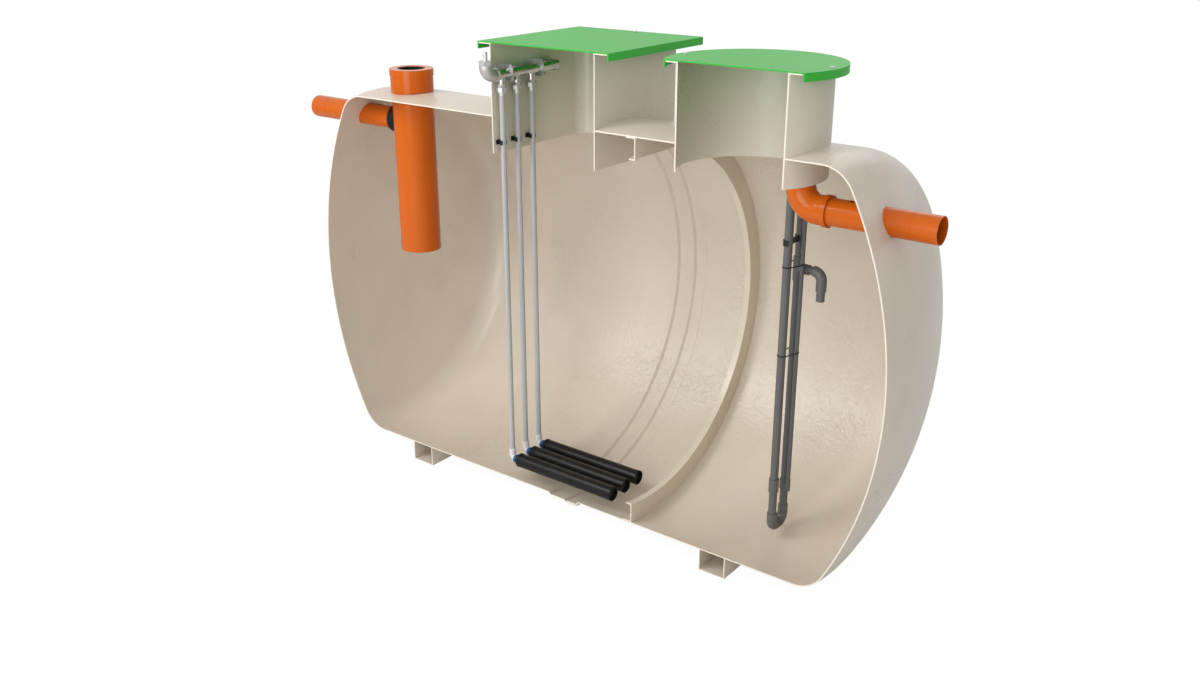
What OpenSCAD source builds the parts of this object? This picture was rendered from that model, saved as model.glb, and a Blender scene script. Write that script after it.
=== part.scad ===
// Packaged sewage treatment plant in a horizontal moulded tank, shown in section.
// The shell, shafts, lids, ring and feet end at one upright section plane in front
// of the tank axis; the pipework inside is whole.
// Lengths are in millimetres. X runs along the tank towards the outlet, Y away from
// the section plane and Z up. The origin is on the ground under the middle.

/* [Tank] */
// Outside radius of the tank barrel
tank_r = 910; // [880:5:930]
// Thickness of the moulded shell
shell_t = 6; // [5:0.5:9]
// Overall length over the two dished ends
tank_l = 3146; // [3100:10:3300]
// Radius of the dished crown of each end
crown_r = 1745; // [1650:5:1800]
// Radius of the knuckle between barrel and crown
knuckle_r = 150; // [120:5:180]
// Distance from the section plane back to the tank axis
cut_offset = 182; // [150:1:200]

/* [Joint band] */
// Where the joint between the two half shells starts
band_x = -86; // [-95:1:-80]
// Length of each slanted flank of the joint
band_flank = 11; // [8:1:15]
// Length of the low step of the joint
band_low_l = 83; // [70:1:90]
// Length of the high step of the joint
band_high_l = 61; // [50:1:70]
// How far the low step stands out from the barrel
band_low_h = 11; // [8:1:13]
// How far the high step stands out from the barrel
band_high_h = 20; // [16:1:24]

/* [Stiffening ring] */
// Position of the web of the ring along the tank
ring_x = 398; // [380:1:420]
// Thickness of the ring section
ring_t = 5; // [4:0.5:7]
// Height of the ring web inward from the shell
ring_h = 92; // [70:1:110]
// Length of the outer flange that lies on the shell
ring_foot_l = 42; // [30:1:55]
// Length of the inner flange of the ring
ring_lip_l = 25; // [15:1:35]

/* [Feet] */
// Centre of the foot near the inlet
foot_in_x = -941; // [-970:1:-900]
// Centre of the foot near the outlet
foot_out_x = 838; // [800:1:900]
// Width of a foot along the tank
foot_w = 133; // [110:1:160]
// Thickness of the foot walls
foot_t = 5; // [4:0.5:8]
// How far a foot stands below the underside of the tank
foot_drop = 84.6; // [60:0.1:110]
// Half length of a foot across the tank at the ground
foot_half_l = 540; // [500:5:600]
// How much longer the foot is at its top than at the ground
foot_flare = 30; // [10:1:60]

/* [Rectangular shaft] */
// Centre of the rectangular shaft along the tank
rect_x = -89; // [-100:1:-80]
// Length of the rectangular shaft along the tank
rect_w = 571; // [540:1:590]
// Length of the rectangular shaft across the tank
rect_d = 926; // [880:2:960]
// Radius of the upright corners of the shaft
rect_corner = 70; // [50:1:90]
// How far the shaft reaches down below the crown of the barrel
rect_dip = 189; // [170:1:210]

/* [Round shaft] */
// Distance from the end of the barrel in to the centre of the round shaft
round_in = 392.3; // [380:0.1:400]
// Outside radius of the round shaft
round_r = 305; // [300:1:310]
// How far the round shaft reaches down below the crown of the barrel
round_dip = 138; // [120:1:145]

/* [Shaft walls and lids] */
// Wall thickness of both shafts and their top flanges
shaft_t = 5; // [4:0.5:8]
// How far the rectangular top flange stands out from the shaft
rect_flange = 62; // [50:1:75]
// How far the round top flange stands out from the shaft
round_flange = 42.5; // [35:0.5:60]
// Height of the top of the lids above the crown of the barrel
lid_rise = 298; // [290:1:350]
// Thickness of the lids
lid_t = 5; // [4:0.5:8]
// Overall height of a lid with its turned down edge
lid_h = 33; // [25:1:45]
// Clearance between a top flange and the turned down edge of its lid
lid_clear = 2.5; // [1:0.5:6]
// Corner radius of the rectangular lid
rect_lid_corner = 12; // [10:1:30]

/* [Inlet] */
// Outside radius of the inlet and outlet pipes
pipe_r = 55; // [50:1:58]
// Wall thickness of the inlet and outlet pipes
pipe_t = 3.2; // [2.5:0.1:5]
// Depth of the inlet axis below the crown of the barrel
inlet_depth = 145; // [135:1:160]
// Distance from mid tank to the outer end of the inlet pipe
inlet_reach = 1755; // [1700:5:1900]
// Distance from the end of the barrel in to the centre of the drop pipe
drop_in = 175.3; // [160:0.1:190]
// Outside radius of the drop pipe
drop_r = 100; // [90:1:105]
// Wall thickness of the drop pipe
drop_t = 4.9; // [4:0.1:7]
// How far the drop pipe reaches below the inlet axis
drop_l = 645; // [560:5:700]
// Height of the top of the drop pipe above the crown of the barrel
drop_rise = 109; // [108:1:130]
// Height of the socket bead at the top of the drop pipe
bead_h = 34; // [25:1:45]
// Height of the socket sleeve under the bead
sleeve_h = 74; // [50:1:74]
// Outside radius of the socket bead
bead_r = 106; // [104:1:112]
// Radius of the opening in the socket top
mouth_r = 67.5; // [60:0.5:75]
// Outside radius of the rubber seal where the inlet enters the drop pipe
branch_seal_r = 68; // [64:1:75]
// Distance from the end of the barrel out to the vent hole, on both pipes
vent_out = 54.7; // [30:0.1:90]
// Radius of the vent hole
vent_r = 14; // [10:1:18]
// Distance of the insertion mark from the free end of a pipe
mark_at = 100; // [80:1:120]
// Width of the insertion mark
mark_w = 3; // [2:0.5:5]
// Depth of the insertion mark
mark_depth = 0.8; // [0.6:0.1:1]

/* [Outlet] */
// Depth of the outlet axis below the crown of the barrel
outlet_depth = 242; // [230:1:255]
// Distance from mid tank to the outer end of the outlet pipe
outlet_reach = 1640; // [1600:5:1700]
// Distance from the centre of the round shaft to the upright leg of the outlet bend
bend_out = 224; // [216:1:232]
// Centreline radius of the outlet bend
outlet_bend_r = 88; // [80:1:95]
// Depth of the sockets of the outlet bend
socket_l = 46; // [40:1:60]
// Wall thickness of the sockets
socket_t = 4; // [3:0.5:6]
// Length of the bead at the socket mouth
socket_bead_l = 20; // [12:1:25]
// How far the socket bead stands out
socket_bead_h = 5; // [3:0.5:7]
// Length of the stub pipe in the upper socket of the bend
stub_l = 90; // [60:1:120]

/* [Air manifold] */
// Centre of the air manifold and its risers along the tank
air_x = -340; // [-342:1:-330]
// Depth of the manifold axis below the top of the lids
air_depth = 137; // [118:1:148]
// Outside radius of the manifold pipe
air_r = 21.5; // [18:0.5:22]
// Wall thickness of the manifold pipe
air_t = 3; // [2:0.5:4]
// Position of the front face of the manifold behind the section plane
air_front_y = -22; // [-30:1:-10]
// Position of the rear end of the manifold behind the section plane
air_rear_y = 405; // [390:1:430]
// Centreline radius of the front elbow
air_bend_r = 45; // [35:1:50]
// Outside radius of the front elbow
air_bend_out = 28; // [25:0.5:29]
// Outside radius of the bead at the mouth of the front elbow
air_bead_r = 31; // [29:0.5:33]
// Length of that bead
air_bead_l = 6; // [4:0.5:10]
// Height of the hexagon nut on the front elbow
nut_h = 20; // [15:1:26]
// Radius over the corners of the hexagon nut
nut_r = 30; // [28:0.5:33]
// Outside radius of the hose tail
tail_r = 10; // [8:0.5:12]
// Length of the hose tail
tail_l = 38; // [30:1:50]
// Bore radius of the hose tail
tail_bore_r = 6; // [4:0.5:7]

/* [Manifold clamps] */
// Positions of the two clamp plates behind the section plane
clamp_y = [82, 290];
// Thickness of a clamp plate
clamp_t = 5; // [4:0.5:8]
// Length of the clamp foot on the shaft wall
clamp_foot_l = 78; // [60:1:80]
// Height of a clamp plate
clamp_h = 76; // [70:1:90]
// Width of a clamp plate outward from the shaft wall
clamp_w = 58; // [56:1:75]
// Radius of the clamp bolts
bolt_r = 4; // [3:0.5:5]

/* [Air risers] */
// Position of the first riser behind the section plane
riser_y = 33; // [25:1:45]
// Distance between two risers
riser_step = 100; // [90:1:105]
// Outside radius of a riser
riser_r = 12.5; // [10:0.5:13]
// Wall thickness of a riser
riser_t = 2.3; // [1.8:0.1:3]
// Length of the nipple under the manifold
nipple_l = 37; // [30:1:50]
// Outside radius of a nipple
nipple_r = 15; // [13.5:0.5:16]
// Outside radius of a union nut over its corners
union_r = 24; // [20:0.5:26]
// Height of a union nut
union_h = 20; // [16:1:26]
// Radius over the corners of the hexagon above a union nut
hex_r = 18.5; // [17:0.5:21]
// Height of the hexagon above a union nut
hex_h = 12; // [8:1:16]
// Height of the collar under a union nut
union_collar_h = 16; // [10:1:20]
// Height of the pipe clips above the lower edge of the shaft
clip_rise = 39; // [19:1:80]
// Height of a pipe clip
clip_h = 20; // [14:1:26]
// Wall thickness of a pipe clip
clip_t = 4; // [3:0.5:5]

/* [Diffusers] */
// Height of the diffusers above the underside of the tank
diffuser_rise = 115; // [110:1:130]
// Radius of a diffuser
diffuser_r = 35; // [30:0.5:36]
// Length of the membrane of a diffuser
diffuser_l = 569; // [500:1:580]
// Length of the coloured collar of a diffuser
collar_l = 10; // [8:1:20]
// Radius of the coloured collar
collar_r = 19; // [18:0.5:24]
// Radius of the short neck of a diffuser behind its collar
neck_r = 26; // [24:0.5:30]
// Length of that neck, and of each clamp ring
neck_l = 12; // [8:1:16]
// Radius of the bottom elbow fittings
elbow_r = 17; // [15:0.5:18]
// Centreline radius of the bottom elbows
elbow_bend_r = 26; // [24:1:30]

/* [Airlift] */
// Distance from the centre of the round shaft to the two lift pipes
lift_out = 140; // [132:1:147]
// Position of the front lift pipe behind the section plane
lift_a_y = 270; // [262:1:275]
// Distance between the two lift pipes
lift_gap = 100; // [90:1:102]
// Outside radius of the lift pipes
lift_r = 18; // [16:0.5:19]
// Wall thickness of the lift pipes
lift_t = 2.4; // [2:0.1:3.5]
// Wall thickness of the push fittings on the lift pipes
fitting_t = 4; // [3:0.5:4.5]
// Depth of the top of the lift pipes below the top of the lids
lift_top_depth = 148; // [110:1:200]
// Height of the lowest centreline of the lift above the underside of the tank
lift_rise = 75; // [65:1:110]
// Centreline radius of the two bottom bends
lift_bend_r = 40; // [36:1:44]
// Height of the coupling above the lowest centreline of the lift
coupling_rise = 183; // [160:1:235]
// Length of the coupling on the front lift pipe
coupling_l = 62; // [50:1:80]
// Depth of the tee below the outlet axis
tee_depth = 315; // [290:1:330]
// Length of the tee along the lift pipe
tee_l = 104; // [96:1:120]
// Distance from the lift pipes to the centre of the discharge spout
spout_out = 110; // [97:1:122]
// Centreline radius of the spout bend
spout_bend_r = 38; // [34:1:42]
// How far the spout reaches below the tee
spout_drop = 124; // [95:1:140]
// Length of the spout socket fitting
spout_fit_l = 42; // [30:1:50]
// Outside radius of the thin air line of the lift
line_r = 9; // [7:0.5:9.5]
// How far the air line stands from the rear lift pipe towards the outlet
line_dx = 34; // [30:1:40]
// How far the air line stands in front of the rear lift pipe
line_dy = 32; // [31:1:34]
// Height of the air line's fitting above the lowest centreline of the lift
line_rise = 180; // [165:1:275]
// Length of that fitting along the rear lift pipe
line_fit_l = 46; // [36:1:60]
// Height of the double clip above the tee
lift_clip_rise = 121; // [90:1:150]
// Height of the double clip
lift_clip_h = 24; // [16:1:30]
// Heights of the cable ties above the tee
tie_rises = [27, -363];
// Width of a cable tie
tie_w = 5; // [4:0.5:8]
// Thickness of a cable tie
tie_t = 1.6; // [1.2:0.1:2.5]
// Depth of the wall bracket of the lift below the top of the lids
bracket_depth = 308; // [260:1:350]
// Height of the wall bracket
bracket_h = 30; // [20:1:40]
// Width of the arm of the wall bracket
bracket_w = 12; // [8:1:20]

/* [Hidden] */
$fn = 64;
// Finer curves for the tank itself, which is much larger than the rest
tank_fn = 256;

// Clearance round each pipe that passes through or seats in another piece
fit_gap = 0.3;
// One overrun for every cut
over = 2;
reach = tank_l;

// Frame of the whole plant, measured from mid tank at the height of its axis
elbow_y = air_front_y - air_bend_r;
front_y = elbow_y - nut_r;
rear_y = cut_offset + tank_r + band_high_h;
origin_x = (outlet_reach - inlet_reach) / 2;
origin_y = (front_y + rear_y) / 2;
ground_z = -tank_r - foot_drop;

// Dished ends: the knuckle circle touches the barrel line and the crown circle
crown_x = tank_l / 2 - crown_r;
knuckle_c = tank_r - knuckle_r;
knuckle_x = crown_x + sqrt((crown_r - knuckle_r) * (crown_r - knuckle_r)
    - knuckle_c * knuckle_c);

// Heights and places that follow the tank, above its axis and from its middle
rect_low_z = tank_r - rect_dip;
round_low_z = tank_r - round_dip;
lid_z = tank_r + lid_rise;
inlet_z = tank_r - inlet_depth;
outlet_z = tank_r - outlet_depth;
drop_x = drop_in - knuckle_x;
drop_low_z = inlet_z - drop_l;
drop_top_z = tank_r + drop_rise;
vent_x = knuckle_x + vent_out;
round_x = knuckle_x - round_in;
outlet_bend_x = round_x + bend_out;
air_z = lid_z - air_depth;
clip_z = rect_low_z + clip_rise;
diffuser_z = diffuser_rise - tank_r;
lift_x = round_x + lift_out;
lift_top_z = lid_z - lift_top_depth;
lift_low_z = lift_rise - tank_r;
coupling_z = lift_low_z + coupling_rise;
line_low_z = lift_low_z + line_rise;
tee_z = outlet_z - tee_depth;
lift_clip_z = tee_z + lift_clip_rise;
tie_z = [for (h = tie_rises) tee_z + h];
spout_x = lift_x + spout_out;
spout_low_z = tee_z - spout_drop;
bracket_z = lid_z - bracket_depth;

band_l = band_flank * 3 + band_low_l + band_high_l;
band_end = band_x + band_l;
end_x = band_end - band_flank;
high_x = end_x - band_high_l;

flange_top = lid_z - lid_t;
wall_top = flange_top - shaft_t;
rect_lid_w = rect_w + 2 * (rect_flange + lid_clear + lid_t);
rect_lid_d = rect_d + 2 * (rect_flange + lid_clear + lid_t);
round_lid_r = round_r + round_flange + lid_clear + lid_t;
rect_h = wall_top - rect_low_z;
round_h = wall_top - round_low_z;
rect_wall_x = rect_x - rect_w / 2 + shaft_t;

drop_wall = sqrt(drop_r * drop_r - branch_seal_r * branch_seal_r);
riser_ys = [for (i = [0, 1, 2]) riser_y + i * riser_step];
nipple_z = air_z - air_r - nipple_l;
union_low = nipple_z - union_h - union_collar_h;
riser_low = diffuser_z + elbow_bend_r;
collar_x = air_x + elbow_bend_r;
diffuser_x = collar_x + collar_l;

lift_b_y = lift_a_y + lift_gap;
lift_fit_r = lift_r + fit_gap + fitting_t;
lift_bore_r = lift_r - lift_t;
branch_x = lift_x + tee_l / 2;
spout_turn_x = spout_x - spout_bend_r;
line_x = lift_x + line_dx;
line_y = lift_b_y - line_dy;

module placed() {
    translate([-origin_x, -origin_y, -ground_z]) children();
}

// Keeps what lies behind the section plane
module sectioned() {
    difference() {
        children();
        translate([-reach, -reach, -reach]) cube([2 * reach, reach, 2 * reach]);
    }
}

// Turns a half section, drawn as radius and length, round the tank axis
module around_tank() {
    translate([0, cut_offset, 0]) rotate([0, 90, 0]) rotate_extrude($fn = tank_fn)
        children();
}

// A round bar along X, Y or Z
module bar_x(r, x0, x1, y, z) {
    translate([x0, y, z]) rotate([0, 90, 0]) cylinder(r = r, h = x1 - x0);
}

module bar_y(r, x, y0, y1, z) {
    translate([x, y1, z]) rotate([90, 0, 0]) cylinder(r = r, h = y1 - y0);
}

module bar_z(r, x, y, z0, z1) {
    translate([x, y, z0]) cylinder(r = r, h = z1 - z0);
}

// A quarter bend with a round section, from the +X side towards the +Y side
module quarter_bend(bend_r, out_r, bore_r) {
    rotate_extrude(angle = 90) translate([bend_r, 0]) difference() {
        circle(out_r);
        circle(bore_r);
    }
}

// A rectangle with round corners
module rounded(w, d, r) {
    square([w - 2 * r, d], center = true);
    square([w, d - 2 * r], center = true);
    for (sx = [-1, 1], sy = [-1, 1])
        translate([sx * (w / 2 - r), sy * (d / 2 - r)]) circle(r);
}

// Half outline of a dished end, all of it smaller by the inset
module end_outline(inset) {
    square([tank_r - inset, knuckle_x]);
    translate([knuckle_c, knuckle_x]) circle(knuckle_r - inset);
    intersection() {
        translate([0, crown_x]) circle(crown_r - inset);
        polygon([[0, crown_x], [0, crown_x + 2 * crown_r],
            [2 * crown_r * knuckle_c / (knuckle_x - crown_x), crown_x + 2 * crown_r]]);
    }
}

module dished_end() {
    around_tank() difference() {
        intersection() {
            end_outline(0);
            translate([0, knuckle_x]) square([tank_r, crown_r]);
        }
        end_outline(shell_t);
    }
}

module barrel(x0, x1) {
    around_tank() translate([tank_r - shell_t, x0]) square([shell_t, x1 - x0]);
}

// The outsides of the two shafts, used to open the shell
module rect_shaft_body(z0, h) {
    translate([rect_x, cut_offset, z0]) linear_extrude(h) rounded(rect_w, rect_d, rect_corner);
}

module round_shaft_body(z0, h) {
    bar_z(round_r, round_x, cut_offset, z0, z0 + h);
}

module inlet_dome() {
    color([0.74, 0.69, 0.61]) placed() sectioned() difference() {
        mirror([1, 0, 0]) dished_end();
        bar_x(pipe_r + fit_gap, -reach, -knuckle_x, cut_offset, inlet_z);
    }
}

module inlet_barrel() {
    color([0.77, 0.71, 0.62]) placed() sectioned() difference() {
        barrel(-knuckle_x, band_x);
        rect_shaft_body(rect_low_z, rect_h);
        bar_z(drop_r + fit_gap, drop_x, cut_offset, drop_low_z, drop_top_z);
    }
}

// Joint of the two half shells, on the inlet half: a bell with a low and a high step between
// slanted flanks, and a lip that closes on the barrel of the outlet half
module joint_band() {
    low_x = band_x + band_flank;
    mid_x = low_x + band_low_l;
    outer = [[tank_r, band_x], [tank_r + band_low_h, low_x], [tank_r + band_low_h, mid_x],
        [tank_r + band_high_h, high_x], [tank_r + band_high_h, end_x],
        [tank_r + shell_t + fit_gap, band_end]];
    color([0.75, 0.69, 0.60]) placed() sectioned() difference() {
        around_tank() polygon(concat(outer,
            [for (i = [0:5]) outer[5 - i] - [shell_t, 0]]));
        rect_shaft_body(rect_low_z, rect_h);
    }
}

// Barrel of the outlet half, with the spigot that seats in the bell
module outlet_barrel() {
    spigot_r = tank_r + band_high_h - shell_t - fit_gap;
    outer = [[spigot_r, high_x + band_flank / 2], [spigot_r, end_x], [tank_r, band_end],
        [tank_r, knuckle_x]];
    color([0.77, 0.71, 0.62]) placed() sectioned() difference() {
        around_tank() polygon(concat(outer,
            [for (i = [0:3]) outer[3 - i] - [shell_t, 0]]));
        rect_shaft_body(rect_low_z, rect_h);
        round_shaft_body(round_low_z, round_h);
    }
}

module outlet_dome() {
    color([0.74, 0.69, 0.61]) placed() sectioned() difference() {
        dished_end();
        bar_x(pipe_r + fit_gap, knuckle_x, reach, cut_offset, outlet_z);
    }
}

// A channel ring, open towards the inlet, laid up against the shell
module stiffening_ring() {
    out_r = tank_r - shell_t;
    in_r = out_r - ring_h;
    back_x = ring_x + ring_t;
    color([0.90, 0.86, 0.78]) placed() sectioned() around_tank() polygon([
        [out_r, back_x - ring_foot_l - ring_t], [out_r, back_x], [in_r, back_x],
        [in_r, back_x - ring_lip_l - ring_t], [in_r + ring_t, back_x - ring_lip_l - ring_t],
        [in_r + ring_t, ring_x], [out_r - ring_t, ring_x],
        [out_r - ring_t, back_x - ring_foot_l - ring_t]]);
}

// A channel foot, open where it is cut, closed behind and shaped to the tank above
module foot(x) {
    h = tank_r + foot_drop;
    module side_view(inset) {
        polygon([[-foot_half_l + inset, -h + inset], [foot_half_l - inset, -h + inset],
            [foot_half_l + foot_flare - inset, 0], [-foot_half_l - foot_flare + inset, 0]]);
    }
    module prism(w, inset) {
        translate([x - w / 2, cut_offset, 0]) rotate([90, 0, 90])
            linear_extrude(w) side_view(inset);
    }
    color([0.86, 0.82, 0.74]) placed() sectioned() difference() {
        prism(foot_w, 0);
        prism(foot_w - 2 * foot_t, foot_t);
        bar_x(tank_r, x - foot_w, x + foot_w, cut_offset, 0, $fn = tank_fn);
        translate([x - foot_w, cut_offset, -knuckle_c * sqrt(3) / 2])
            cube([2 * foot_w, reach, reach]);
    }
}

module inlet_foot() { foot(foot_in_x); }
module outlet_foot() { foot(foot_out_x); }

module rectangular_shaft() {
    color([0.80, 0.78, 0.68]) placed() sectioned() difference() {
        rect_shaft_body(rect_low_z, rect_h);
        translate([rect_x, cut_offset, rect_low_z - over]) linear_extrude(rect_h + 2 * over)
            rounded(rect_w - 2 * shaft_t, rect_d - 2 * shaft_t, rect_corner - shaft_t);
    }
}

module rectangular_flange() {
    color([0.90, 0.87, 0.78]) placed() sectioned()
        translate([rect_x, cut_offset, wall_top]) linear_extrude(shaft_t) difference() {
            rounded(rect_w + 2 * rect_flange, rect_d + 2 * rect_flange,
                rect_lid_corner);
            rounded(rect_w - 2 * shaft_t, rect_d - 2 * shaft_t, rect_corner - shaft_t);
        }
}

module rectangular_lid() {
    color([0.24, 0.66, 0.25]) placed() sectioned()
        translate([rect_x, cut_offset, lid_z - lid_h]) difference() {
            linear_extrude(lid_h) rounded(rect_lid_w, rect_lid_d, rect_lid_corner);
            translate([0, 0, -over]) linear_extrude(lid_h - lid_t + over)
                rounded(rect_lid_w - 2 * lid_t, rect_lid_d - 2 * lid_t,
                    rect_lid_corner - lid_t);
        }
}

module round_shaft() {
    color([0.80, 0.78, 0.68]) placed() sectioned() difference() {
        round_shaft_body(round_low_z, round_h);
        bar_z(round_r - shaft_t, round_x, cut_offset, round_low_z - over, wall_top + over);
    }
}

module round_flange_ring() {
    color([0.90, 0.87, 0.78]) placed() sectioned() difference() {
        bar_z(round_r + round_flange, round_x, cut_offset, wall_top, flange_top);
        bar_z(round_r - shaft_t, round_x, cut_offset, wall_top - over, flange_top + over);
    }
}

module round_lid() {
    color([0.24, 0.66, 0.25]) placed() sectioned() difference() {
        bar_z(round_lid_r, round_x, cut_offset, lid_z - lid_h, lid_z);
        bar_z(round_lid_r - lid_t, round_x, cut_offset, lid_z - lid_h - over, lid_z - lid_t);
    }
}

// Shallow groove that shows how far the next pipe's socket goes on
module insertion_mark(x) {
    difference() {
        bar_x(pipe_r + over, x, x + mark_w, cut_offset, 0);
        bar_x(pipe_r - mark_depth, x - over, x + mark_w + over, cut_offset, 0);
    }
}

// The pipe ends inside the drop pipe, just past its seal
module inlet_pipe() {
    color([0.88, 0.42, 0.12]) placed() difference() {
        bar_x(pipe_r, -inlet_reach, drop_x - drop_wall + pipe_t, cut_offset, inlet_z);
        bar_x(pipe_r - pipe_t, -inlet_reach - over, drop_x, cut_offset, inlet_z);
        bar_z(vent_r, -vent_x, cut_offset, inlet_z, inlet_z + 2 * pipe_r);
        translate([0, 0, inlet_z]) insertion_mark(mark_at - inlet_reach);
    }
}

module branch_seal() {
    lip_x = drop_x - drop_r - branch_seal_r / 3;
    color([0.07, 0.07, 0.07]) placed() difference() {
        union() {
            difference() {
                bar_x(branch_seal_r, lip_x, drop_x - drop_wall, cut_offset, inlet_z);
                bar_z(drop_r, drop_x, cut_offset, drop_low_z, drop_top_z);
            }
            bar_x(branch_seal_r - drop_t, lip_x, drop_x - drop_wall, cut_offset, inlet_z);
        }
        bar_x(pipe_r + fit_gap, lip_x - over, drop_x, cut_offset, inlet_z);
    }
}

module drop_pipe() {
    color([0.88, 0.42, 0.12]) placed() difference() {
        bar_z(drop_r, drop_x, cut_offset, drop_low_z, drop_top_z - bead_h);
        bar_z(drop_r - drop_t, drop_x, cut_offset, drop_low_z - over, drop_top_z);
        bar_x(branch_seal_r - drop_t + fit_gap, drop_x - 2 * drop_r, drop_x, cut_offset,
            inlet_z);
    }
}

// Socket on the drop pipe: a bead, a sleeve with two low rings and an inward top
module drop_socket() {
    sleeve_z = drop_top_z - bead_h - sleeve_h;
    in_r = drop_r + fit_gap;
    step = (bead_r - in_r) / 2;
    color([0.90, 0.44, 0.13]) placed() translate([drop_x, cut_offset, 0])
        rotate_extrude() {
            translate([in_r, sleeve_z]) square([step, sleeve_h]);
            translate([mouth_r, drop_top_z - bead_h]) difference() {
                square([bead_r - mouth_r, bead_h]);
                translate([-over, -over])
                    square([in_r - mouth_r + over - drop_t, bead_h - drop_t + over]);
            }
            for (i = [0, 1]) translate([in_r, sleeve_z + i * sleeve_h / 4])
                square([step + fit_gap, drop_t]);
        }
}

module drop_seal() {
    color([0.07, 0.07, 0.07]) placed() difference() {
        bar_z(mouth_r, drop_x, cut_offset, drop_top_z - bead_h, drop_top_z - pipe_t);
        bar_z(mouth_r - 2 * drop_t, drop_x, cut_offset, drop_top_z - bead_h - over,
            drop_top_z + over);
    }
}

module outlet_pipe() {
    start_x = outlet_bend_x + outlet_bend_r;
    color([0.88, 0.42, 0.12]) placed() difference() {
        bar_x(pipe_r, start_x, outlet_reach, cut_offset, outlet_z);
        bar_x(pipe_r - pipe_t, start_x - over, outlet_reach + over, cut_offset, outlet_z);
        bar_z(vent_r, vent_x, cut_offset, outlet_z, outlet_z + 2 * pipe_r);
        translate([0, 0, outlet_z]) insertion_mark(outlet_reach - mark_at - mark_w);
    }
}

// A socket with a bead at its mouth, from the origin upward
module pipe_socket() {
    in_r = pipe_r + fit_gap;
    difference() {
        union() {
            cylinder(r = in_r + socket_t, h = socket_l);
            translate([0, 0, socket_l - socket_bead_l])
                cylinder(r = in_r + socket_t + socket_bead_h, h = socket_bead_l);
        }
        translate([0, 0, -over]) cylinder(r = in_r, h = socket_l + 2 * over);
    }
}

// Bend that turns the outlet upward inside the round shaft
module outlet_bend() {
    color([0.88, 0.42, 0.12]) placed()
        translate([outlet_bend_x + outlet_bend_r, cut_offset, outlet_z + outlet_bend_r]) {
            rotate([90, 0, 180]) rotate([0, 0, -90])
                quarter_bend(outlet_bend_r, pipe_r + socket_t, pipe_r - pipe_t);
            translate([0, 0, -outlet_bend_r]) rotate([0, 90, 0]) pipe_socket();
            translate([-outlet_bend_r, 0, 0]) pipe_socket();
        }
}

module outlet_stub() {
    low = outlet_z + outlet_bend_r;
    color([0.88, 0.42, 0.12]) placed() difference() {
        bar_z(pipe_r, outlet_bend_x, cut_offset, low, low + stub_l);
        bar_z(pipe_r - pipe_t, outlet_bend_x, cut_offset, low - over, low + stub_l + over);
    }
}

// Manifold pipe with three nipples on its underside
module air_manifold() {
    color([0.80, 0.80, 0.78]) placed() difference() {
        union() {
            bar_y(air_r, air_x, air_front_y, air_rear_y, air_z);
            for (y = riser_ys) bar_z(nipple_r, air_x, y, nipple_z, air_z);
        }
        bar_y(air_r - air_t, air_x, air_front_y - over, air_rear_y + over, air_z);
        for (y = riser_ys) bar_z(riser_r - riser_t, air_x, y, nipple_z - over, air_z);
    }
}

module manifold_end_cap() {
    color([0.72, 0.72, 0.70]) placed() difference() {
        bar_y(air_r + air_t, air_x, air_rear_y - air_r, air_rear_y + air_t, air_z);
        bar_y(air_r + fit_gap / 2, air_x, air_rear_y - air_r - over, air_rear_y, air_z);
    }
}

// Elbow that turns the manifold upward in front, with its hexagon nut
module manifold_elbow() {
    top = air_z + air_bend_r;
    color([0.82, 0.82, 0.80]) placed() {
        translate([air_x, air_front_y, top]) rotate([90, 0, 90]) rotate([0, 0, 180])
            quarter_bend(air_bend_r, air_bend_out, air_r - air_t);
        difference() {
            union() {
                bar_y(air_bend_out, air_x, air_front_y, air_front_y + air_r, air_z);
                bar_y(air_bead_r, air_x, air_front_y + air_r - air_bead_l, air_front_y + air_r, air_z);
            }
            bar_y(air_r + fit_gap / 2, air_x, air_front_y - over, air_front_y + 2 * air_r, air_z);
        }
        difference() {
            translate([air_x, elbow_y, top]) cylinder(r = nut_r, h = nut_h, $fn = 6);
            bar_z(tail_r + fit_gap / 2, air_x, elbow_y, top - over, top + nut_h + over);
        }
    }
}

// Ribbed hose tail that seats in the nut
module hose_tail() {
    low = air_z + air_bend_r;
    rib = tail_l / 4;
    color([0.66, 0.67, 0.68]) placed() difference() {
        union() {
            bar_z(tail_r, air_x, elbow_y, low, low + nut_h);
            for (i = [0, 1, 2, 3]) translate([air_x, elbow_y, low + nut_h + i * rib])
                cylinder(r1 = tail_r, r2 = tail_r - air_t / 2, h = rib);
        }
        bar_z(tail_bore_r, air_x, elbow_y, low - over, low + nut_h + tail_l + over);
    }
}

// Upright clamp plate with its outer corners rounded, square against the wall
module plate_outline() {
    r = 3 * bolt_r;
    translate([0, -clamp_h / 2]) square([clamp_w - r, clamp_h]);
    translate([0, r - clamp_h / 2]) square([clamp_w, clamp_h - 2 * r]);
    for (s = [-1, 1]) translate([clamp_w - r, s * (clamp_h / 2 - r)]) circle(r);
}

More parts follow.
